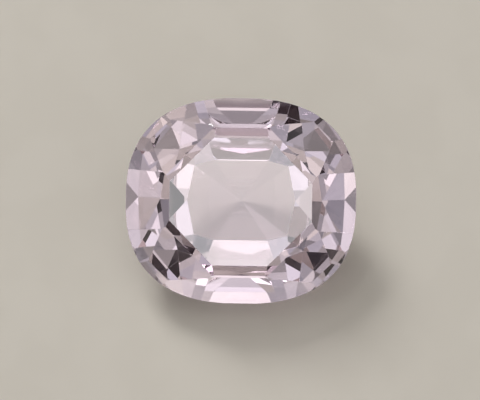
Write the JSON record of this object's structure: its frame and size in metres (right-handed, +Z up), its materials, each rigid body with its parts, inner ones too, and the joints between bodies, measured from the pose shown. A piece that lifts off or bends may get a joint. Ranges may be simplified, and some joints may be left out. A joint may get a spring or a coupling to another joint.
{
  "type": "purple sapphire gemstone",
  "caption": "Cushion mixed-cut purple sapphire: an octagonal table in a stepped crown, over a deep pavilion with a shallow tier round its culet. It lies on one of its culet facets.",
  "frame": {"origin": "centre of the bounding box's bottom face, on the surface that the stone lies on", "axes": "+X along the stone's length, +Y across its width and away from the side that the table faces, +Z up"},
  "size_m": [0.0116, 0.0092, 0.0069],
  "materials": {
    "sapphire": "polished clear pale purple crystal"
  },
  "bodies": {
    "root": {"purple_sapphire": "sapphire"}
  },
  "joints": []
}
